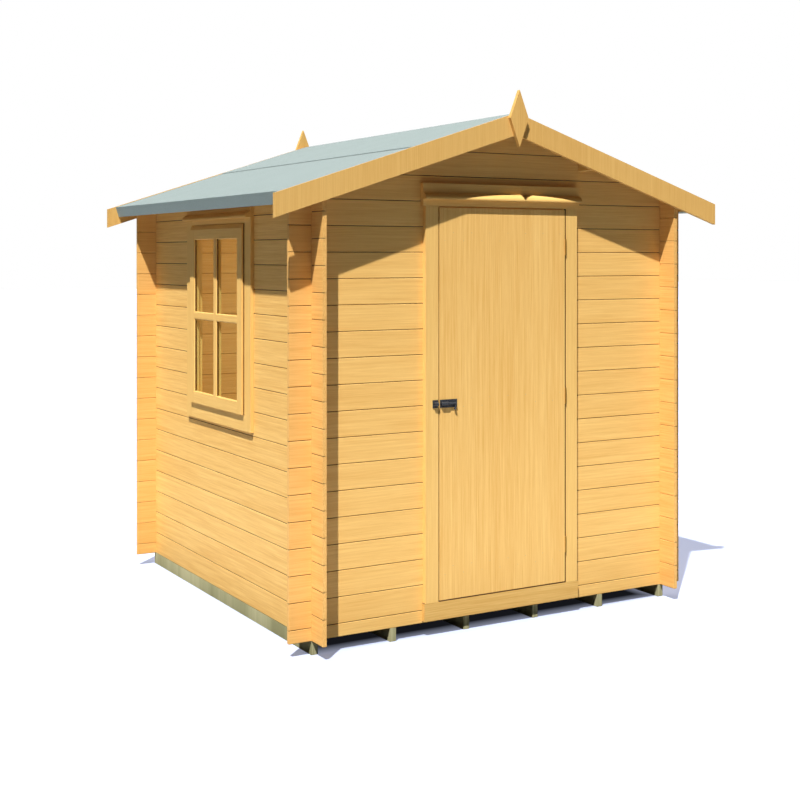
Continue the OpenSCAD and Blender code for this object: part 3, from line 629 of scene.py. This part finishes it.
class CABIN_OT_finish_window_frame(bpy.types.Operator):
    """Finish the window's surround, drip moulding, casement, stops and bars"""

    bl_idname = "cabin.finish_window_frame"
    bl_label = "Finish window frame"

    def execute(self, context):
        timber = context.scene.cabin_timber
        light, dark = timber.trim_light, timber.trim_dark
        shared = {"ring": timber.ring_gap, "contrast": timber.grain}
        # Planed redwood, as round the door. Stiles have upright grain and rails level
        # grain, so that the joints of the frame show.
        drip = wood("planed redwood drip moulding", light, dark, "Y", centre=WALL_OUT,
                    seed=29.0, **shared)
        finish_nodes(drip, ("window_drip_moulding",))
        low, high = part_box("window_surround")
        middle, half = (low.y + high.y) / 2, (high.y - low.y) / 2
        inner = half - timber.surround_board - HAIR
        surround = wood("planed redwood window surround", light, dark, "Y",
                        upright=("Y", middle, inner, "past"), seed=37.0, **shared)
        finish_nodes(surround, ("window_surround",))
        # Painted shade: a dark line at the foot of the casement's front edge, in the gap next to the
        # surround
        out = timber.foot - low.x
        low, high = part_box("window_casement")
        half = (high.y - low.y) / 2
        inner = half - timber.stile - HAIR
        casement = wood("planed redwood casement", light, dark, "Y",
                        upright=("Y", middle, inner, "past"),
                        corner=(("Y", middle, half - SHADE_LINE, BEYOND),
                                ("X", 0.0, WITHIN, out)),
                        stain=timber.stain, seed=43.0, **shared)
        finish_nodes(casement, ("window_casement", "window_stops"))
        bars = wood("planed redwood glazing bars", light, dark, "Y",
                    upright=("Y", middle, timber.half_bar + HAIR, "within"), seed=47.0,
                    **shared)
        finish_nodes(bars, ("window_bars",))
        return {"FINISHED"}


class CABIN_OT_finish_door(bpy.types.Operator):
    """Finish the boarded door"""

    bl_idname = "cabin.finish_door"
    bl_label = "Finish door"

    def execute(self, context):
        timber = context.scene.cabin_timber
        low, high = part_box("door_boards")
        cover = (high.x - low.x) / timber.door_boards
        # Matchboarded spruce: upright grain, each board with its own tone
        boards = wood("matchboarded spruce door", timber.door_light, timber.door_dark, "Z",
                      boards=("X", low.x, cover), ring=timber.ring_gap,
                      contrast=timber.door_grain, seed=53.0)
        finish_nodes(boards, ("door_boards",))
        ledges = wood("planed spruce ledges", timber.door_light, timber.door_dark, "X",
                      centre=WALL_OUT, ring=timber.ring_gap, contrast=timber.grain, seed=59.0)
        finish_nodes(ledges, ("door_ledges", "door_braces"))
        return {"FINISHED"}


class CABIN_OT_finish_boards(bpy.types.Operator):
    """Finish the roof boards, floor boards and bearers"""

    bl_idname = "cabin.finish_boards"
    bl_label = "Finish boards and bearers"

    def execute(self, context):
        timber = context.scene.cabin_timber
        light, dark = timber.board_light, timber.board_dark
        # Plain planed spruce boards without stain: pale, each with its own tone
        low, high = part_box("roof_boards_left")
        cover = (high.y - low.y) / timber.roof_boards
        roof = wood("planed spruce roof boards", light, dark, "X",
                    boards=("Y", low.y, cover), seed=61.0)
        finish_nodes(roof, ("roof_boards_left", "roof_boards_right"))
        low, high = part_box("floor_boards")
        cover = (high.y - low.y) / timber.floor_boards
        floor = wood("planed spruce floor boards", light, dark, "X",
                     boards=("Y", low.y, cover), roughness=0.6, seed=67.0)
        finish_nodes(floor, ("floor_boards",))
        # Sawn pressure-treated pine: dull, green grey, with coarse grain
        bearers = wood("sawn pressure-treated pine", timber.bearer_light,
                       timber.bearer_dark, "Y",
                       boards=("X", FAR_LEFT, timber.bearer_strip), ring=0.011,
                       contrast=0.9, roughness=0.8, seed=71.0)
        finish_nodes(bearers, ("bearers",))
        return {"FINISHED"}


class CABIN_OT_finish_felt(bpy.types.Operator):
    """Finish the roof with mineral felt"""

    bl_idname = "cabin.finish_felt"
    bl_label = "Finish roofing felt"

    def execute(self, context):
        roof = context.scene.cabin_roof
        # Bitumen felt faced with slate granules: matt and gritty. Granules are
        # about 1 mm and are drawn at 4 mm, so that they show.
        material, tree, output = new_material("mineral roofing felt")
        places = add(tree, "ShaderNodeTexCoord").outputs
        grit = noise(tree, places["Object"], 1 / roof.granule, 2.0, Roughness=0.7)["Fac"]
        cloud = noise(tree, places["Object"], 6.0, 3.0)["Fac"]
        level = maths(tree, "MULTIPLY_ADD", cloud, 0.35,
                      stretch(tree, grit, 0.3, 0.7, 0.0, 0.8), clamp=True)
        shade = mix(tree, level, roof.felt_dark, roof.felt_light)
        # Painted light: the fold over the eaves, which faces out, is made paler than the slopes
        upward = split(tree, places["Normal"])["Z"]
        shade = scaled(tree, shade, stretch(tree, upward, 0.2, 0.7, roof.fold_painted_light, 1.0))
        # Bitumen has oozed out along the lap
        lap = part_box("felt_ridge")[1].x
        out = maths(tree, "ABSOLUTE", split(tree, places["Object"])["X"])
        shade = mix(tree, in_band(tree, out, lap, lap + roof.ooze), shade, roof.bitumen)
        finish(tree, output, shade, 0.92,
               **{"Normal": relief(tree, grit, 0.5, 0.0005), "Specular IOR Level": 0.3})
        finish_nodes(material, ("felt_left", "felt_right", "felt_ridge"))
        return {"FINISHED"}


class CABIN_OT_finish_window(bpy.types.Operator):
    """Finish the window pane"""

    bl_idname = "cabin.finish_window"
    bl_label = "Finish window pane"

    def execute(self, context):
        glass = context.scene.cabin_glass
        # Clear float glass, 3 mm: the room shows through, with a faint reflection
        material, tree, output = new_material("clear float glass")
        through = add(tree, "ShaderNodeBsdfTransparent", {"Color": opaque(glass.tint)})
        mirror = add(tree, "ShaderNodeBsdfGlossy", {"Roughness": 0.02})
        both = add(tree, "ShaderNodeMixShader",
                   {0: glass.reflection, 1: through.outputs[0], 2: mirror.outputs[0]})
        tree.links.new(both.outputs[0], output.inputs["Surface"])
        finish_nodes(material, ("window_glass",))
        return {"FINISHED"}


def bead_ring(mesh, depth, across, up, width, land):
    """Four mitred beads round a pane, bevelled down to the glass.

    depth, across and up are the ring's ranges along X, Y and Z, and depth runs
    from the back to the front. The bevel leaves a flat of land.
    """
    centre = (depth[0], sum(across) / 2, sum(up) / 2)
    size = Matrix.Diagonal((up[1] - up[0], across[1] - across[0], 1.0, 1.0))
    turn = Matrix.Rotation(math.radians(90), 4, "Y")
    made = bmesh.ops.create_grid(mesh, x_segments=1, y_segments=1, size=0.5,
                                 matrix=Matrix.Translation(centre) @ turn @ size)
    pane = made["verts"][0].link_faces[0]
    ring = bmesh.ops.inset_region(mesh, faces=[pane], thickness=width,
                                  use_boundary=True, use_even_offset=True)["faces"]
    inner = list(pane.verts)
    bmesh.ops.delete(mesh, geom=[pane], context="FACES_ONLY")
    raised = bmesh.ops.extrude_face_region(mesh, geom=ring)["geom"]
    fronts = [v for v in raised if isinstance(v, bmesh.types.BMVert)]
    bmesh.ops.translate(mesh, verts=fronts, vec=(depth[1] - depth[0], 0, 0))
    rim = {v for v in fronts if any(e.other_vert(v) in inner for e in v.link_edges)}
    edges = {e for v in rim for e in v.link_edges if e.other_vert(v) in rim}
    slope = min(abs(depth[1] - depth[0]), width) - land
    bmesh.ops.bevel(mesh, geom=list(edges), offset=slope, segments=1, profile=0.5,
                    affect="EDGES", material=-1)


def spread(face, axis):
    """How far a face reaches along an axis, by its number."""
    places = [v.co[axis] for v in face.verts]
    return max(places) - min(places)


class CABIN_OT_bed_panes(bpy.types.Operator):
    """Fit bevelled beads round the four panes, outside the glass"""

    bl_idname = "cabin.bed_panes"
    bl_label = "Bed panes"

    def execute(self, context):
        timber = context.scene.cabin_timber
        low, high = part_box("window_bars")
        middle = (low + high) / 2
        half_bar, gap = timber.half_bar, timber.bead_gap
        # Beads lie between the face of the casement and the glass
        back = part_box("window_glass")[0].x - gap
        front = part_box("window_casement")[0].x + gap
        columns = ((low.y, middle.y - half_bar), (middle.y + half_bar, high.y))
        rows = ((low.z, middle.z - half_bar), (middle.z + half_bar, high.z))
        mesh = bmesh.new()
        for left, right in columns:
            for bottom, top in rows:
                bead_ring(mesh, (back, front), (left + gap, right - gap),
                          (bottom + gap, top - gap), timber.bead, timber.bead_land)
        # Level beads take the first material, upright ones the second
        for face in mesh.faces:
            face.material_index = int(spread(face, 2) > spread(face, 1))
        shared = {"centre": WALL_OUT, "ring": timber.ring_gap, "contrast": timber.grain}
        level = wood("planed redwood level beads", timber.trim_light, timber.trim_dark, "Y",
                     seed=83.0, **shared)
        # The upright beads are dark along their foot, where they meet the glass
        tall = wood("planed redwood upright beads", timber.trim_light, timber.trim_dark,
                    "Z", corner=(("X", 0.0, WITHIN, timber.glass_line - back),),
                    stain=timber.stain, seed=89.0, **shared)
        piece("glazing_beads", mesh, (level, tall), "cabin")
        return {"FINISHED"}


def black_steel(metal):
    """Black japanned steel: dark and satin, its enamel thin in small patches."""
    material, tree, output = new_material("black japanned steel")
    place = add(tree, "ShaderNodeTexCoord").outputs["Object"]
    uneven = noise(tree, place, 160.0, 3.0)["Fac"]
    shade = mix(tree, stretch(tree, uneven, 0.35, 0.7, 0.0, 0.45), metal.black, metal.worn)
    finish(tree, output, shade, stretch(tree, uneven, 0.3, 0.7, 0.3, 0.5),
           **{"Normal": relief(tree, uneven, 0.3, 0.0002), "Coat Weight": 0.15,
              "Coat Roughness": 0.25})
    return material


def plated_steel(name, plate):
    """Plated steel, a little dulled by handling: zinc on nails, brass on hinges."""
    material, tree, output = new_material(name)
    place = add(tree, "ShaderNodeTexCoord").outputs["Object"]
    dull = noise(tree, place, 700.0, 2.0)["Fac"]
    finish(tree, output, opaque(plate), stretch(tree, dull, 0.3, 0.7, 0.28, 0.45),
           Metallic=1.0)
    return material


def screw_head(mesh, place, radius):
    """A domed screw head with a recess in its crown, its back on the surface."""
    crown, height = radius * 0.62, radius * 0.42
    land, recess = radius * 0.25, radius * 0.3
    earlier = set(mesh.verts)
    dome = bmesh.ops.create_cone(mesh, cap_ends=True, segments=16, radius1=radius,
                                 radius2=crown, depth=height)["verts"]
    bmesh.ops.translate(mesh, verts=dome, vec=(0, 0, height / 2))
    faces = {f for v in dome for f in v.link_faces}
    top = max(faces, key=lambda f: f.calc_center_median().z)
    bmesh.ops.inset_region(mesh, faces=[top], thickness=land)
    hole = bmesh.ops.extrude_face_region(mesh, geom=[top])["geom"]
    floor = [v for v in hole if isinstance(v, bmesh.types.BMVert)]
    bmesh.ops.translate(mesh, verts=floor, vec=(0, 0, -recess))
    bmesh.ops.delete(mesh, geom=[top], context="FACES_ONLY")
    fresh = [v for v in mesh.verts if v not in earlier]
    bmesh.ops.transform(mesh, matrix=place, verts=fresh)


class CABIN_OT_fit_ironmongery(bpy.types.Operator):
    """Finish the hinges and the bolt, and drive the screws of the bolt's plate and keeper"""

    bl_idname = "cabin.fit_ironmongery"
    bl_label = "Fit hinges and bolt"

    def execute(self, context):
        metal = context.scene.cabin_metal
        black = black_steel(metal)
        finish_nodes(black, ("bolt_plate", "bolt", "bolt_keeper"))
        brass = plated_steel("brass-plated steel", metal.brass)
        finish_nodes(brass, ("hinges_on_door", "hinges_on_frame"))
        # A screw near each corner of the bolt's plate and of the keeper's
        for name, node, body in (("bolt_plate_screws", "bolt_plate", "door"),
                                 ("bolt_keeper_screws", "bolt_keeper", "cabin")):
            low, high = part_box(node)
            face = high.y - metal.plate
            mesh = bmesh.new()
            for x in (low.x + metal.screw_end, high.x - metal.screw_end):
                for z in (low.z + metal.screw_edge, high.z - metal.screw_edge):
                    screw_head(mesh, facing((0, -1, 0), (x, face, z)), metal.screw_r)
            piece(name, mesh, (black,), body)
        return {"FINISHED"}


class CABIN_OT_drive_nails(bpy.types.Operator):
    """Nail the door boards to their ledges"""

    bl_idname = "cabin.drive_nails"
    bl_label = "Drive door nails"

    def execute(self, context):
        metal = context.scene.cabin_metal
        boards = context.scene.cabin_timber.door_boards
        zinc = plated_steel("zinc-plated steel", metal.zinc)
        low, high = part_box("door_boards")
        cover = (high.x - low.x) / boards
        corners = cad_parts["door_ledges"].data.vertices
        heights = sorted({round(v.co.z, 4) for v in corners})
        plate_low, plate_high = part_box("bolt_plate")
        mesh = bmesh.new()
        # Two nails through each board into each ledge, set across each other
        for bottom, top in zip(heights[0::2], heights[1::2]):
            for board in range(boards):
                for across, up in ((0.28, 0.3), (0.72, 0.7)):
                    x = low.x + (board + across) * cover
                    z = bottom + (top - bottom) * up
                    beside = x < plate_high.x + metal.nail_free
                    level = (plate_low.z - metal.nail_free < z
                             < plate_high.z + metal.nail_free)
                    if beside and level:
                        continue
                    bmesh.ops.create_cone(
                        mesh, cap_ends=True, segments=10, radius1=metal.nail_r,
                        radius2=metal.nail_r * 0.8, depth=metal.nail_t,
                        matrix=facing((0, -1, 0), (x, low.y, z)))
        piece("door_nails", mesh, (zinc,), "door")
        return {"FINISHED"}


def studio_floor(stage):
    """A matt floor, white to the camera and dimmer to the light that bounces off it.

    To the camera it glows a little in its shade, as painted sky light. Under the
    cabin, between the bearers, it is painted dark as shade, and near the cabin it
    bounces more light than far off, as a painted pool of bounce light.
    """
    material, tree, output = new_material("matt studio floor")
    place = add(tree, "ShaderNodeTexCoord").outputs["Object"]
    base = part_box("bearers")[1]
    inside = vectors(tree, "SUBTRACT", (base.x, base.y, 1.0),
                     vectors(tree, "ABSOLUTE", place))
    inside = split(tree, inside)
    inside = maths(tree, "MINIMUM", inside["X"], inside["Y"])

    # Painted shade: to the camera the floor is dark under the cabin
    open_air = stretch(tree, inside, 0.0, stage.under, 1.0, stage.under_light)
    pale = scaled(tree, stage.floor, open_air)
    lit = add(tree, "ShaderNodeBsdfDiffuse", {"Color": pale})
    # Painted sky light: the floor glows a little, so that its shade is pale
    sky = add(tree, "ShaderNodeEmission", {"Color": pale, "Strength": stage.shade})
    shown = add(tree, "ShaderNodeAddShader", {0: lit.outputs[0], 1: sky.outputs[0]})

    # A painted pool of bounce light: the floor bounces more light near the cabin than far off
    far = stretch(tree, size_of(tree, place), stage.near, stage.far)
    tint = mix(tree, far, stage.bounce_near, stage.bounce_far)
    # Painted shade: under the cabin the floor bounces hardly any light
    beside = stretch(tree, inside, -stage.beside, 0.0, 1.0, stage.under_light)
    bounced = add(tree, "ShaderNodeBsdfDiffuse", {"Color": scaled(tree, tint, beside)})

    seen = add(tree, "ShaderNodeLightPath").outputs["Is Camera Ray"]
    both = add(tree, "ShaderNodeMixShader",
               {0: seen, 1: bounced.outputs[0], 2: shown.outputs[0]})
    tree.links.new(both.outputs[0], output.inputs["Surface"])
    return material


def studio_world(stage):
    """White walls to the camera, dimmer to reflections and to the shade."""
    world = bpy.data.worlds.new("studio")
    world.use_nodes = True
    tree = world.node_tree
    tree.nodes.clear()
    output = tree.nodes.new("ShaderNodeOutputWorld")
    path = add(tree, "ShaderNodeLightPath").outputs
    level = stretch(tree, path["Is Camera Ray"], 0.0, 1.0, stage.ambient, 1.0)
    level = maths(tree, "MULTIPLY_ADD", path["Is Glossy Ray"], stage.gleam, level)
    walls = add(tree, "ShaderNodeBackground",
                {"Color": (1.0, 1.0, 1.0, 1.0), "Strength": level})
    tree.links.new(walls.outputs[0], output.inputs["Surface"])
    return world


def far_lamp(name, direction, strength, size):
    """A lamp far away, whose light travels in one direction."""
    lamp = bpy.data.lights.new(name, "SUN")
    lamp.energy = strength
    lamp.angle = size
    holder = bpy.data.objects.new(name, lamp)
    holder.rotation_euler = Vector(direction).to_track_quat("-Z", "Y").to_euler()
    bpy.context.scene.collection.objects.link(holder)


def room_lamp(stage):
    """A soft lamp in the room, which shows the far wall through the window."""
    lamp = bpy.data.lights.new("room", "POINT")
    lamp.energy = stage.room
    lamp.color = stage.room_colour
    lamp.shadow_soft_size = stage.room_size
    holder = bpy.data.objects.new("room", lamp)
    holder.location = stage.room_place
    bpy.context.scene.collection.objects.link(holder)


class CABIN_OT_set_stage(bpy.types.Operator):
    """Set the floor, the lamps, the background and the camera"""

    bl_idname = "cabin.set_stage"
    bl_label = "Set stage"

    def execute(self, context):
        scene = context.scene
        stage = scene.cabin_stage
        scene.view_settings.view_transform = "Standard"
        scene.world = studio_world(stage)
        mesh = bmesh.new()
        bmesh.ops.create_grid(mesh, x_segments=1, y_segments=1, size=stage.floor_size)
        new_object("floor", mesh, (studio_floor(stage),))
        far_lamp("sun", stage.sun_travel, stage.sun, stage.sun_size)
        far_lamp("fill", stage.fill_travel, stage.fill, stage.fill_size)
        room_lamp(stage)

        # A level camera, with its lens shifted so that uprights stay upright
        lens = bpy.data.cameras.new("camera")
        lens.lens = stage.focal
        lens.shift_y = stage.lens_shift
        camera = bpy.data.objects.new("camera", lens)
        camera.location = stage.eye
        camera.rotation_euler = (math.radians(90), 0.0, stage.bearing)
        scene.collection.objects.link(camera)
        scene.camera = camera
        return {"FINISHED"}


STEPS = (CABIN_OT_finish_logs, CABIN_OT_finish_trim, CABIN_OT_finish_door_frame,
         CABIN_OT_finish_window_frame, CABIN_OT_finish_door, CABIN_OT_finish_boards,
         CABIN_OT_finish_felt, CABIN_OT_finish_window, CABIN_OT_bed_panes,
         CABIN_OT_fit_ironmongery, CABIN_OT_drive_nails, CABIN_OT_set_stage)
GROUPS = {
    "cabin_timber": (CabinTimber, "Timber"),
    "cabin_roof": (CabinRoof, "Roof"),
    "cabin_metal": (CabinMetal, "Ironmongery"),
    "cabin_glass": (CabinGlass, "Glass"),
    "cabin_stage": (CabinStage, "Stage"),
}


class CABIN_PT_finishes(bpy.types.Panel):
    """Lists the cabin's finishing steps and their settings"""

    bl_idname = "CABIN_PT_finishes"
    bl_label = "Log Cabin"
    bl_space_type = "VIEW_3D"
    bl_region_type = "UI"
    bl_category = "Log Cabin"

    def draw(self, context):
        for step in STEPS:
            self.layout.operator(step.bl_idname)
        for group, (kind, label) in GROUPS.items():
            box = self.layout.box()
            box.label(text=label)
            for name in kind.__annotations__:
                box.prop(getattr(context.scene, group), name)


def register():
    """Registers the settings, the steps and the panel."""
    for group, (kind, _) in GROUPS.items():
        bpy.utils.register_class(kind)
        setattr(bpy.types.Scene, group, bpy.props.PointerProperty(type=kind))
    for kind in (*STEPS, CABIN_PT_finishes):
        bpy.utils.register_class(kind)


def unregister():
    """Takes the panel, the steps and the settings away again."""
    for kind in reversed((*STEPS, CABIN_PT_finishes)):
        bpy.utils.unregister_class(kind)
    for group, (kind, _) in reversed(GROUPS.items()):
        delattr(bpy.types.Scene, group)
        bpy.utils.unregister_class(kind)


def main():
    """Registers the add-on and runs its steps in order."""
    register()
    for step in STEPS:
        family, name = step.bl_idname.split(".")
        getattr(getattr(bpy.ops, family), name)()


if __name__ == "__main__":
    main()
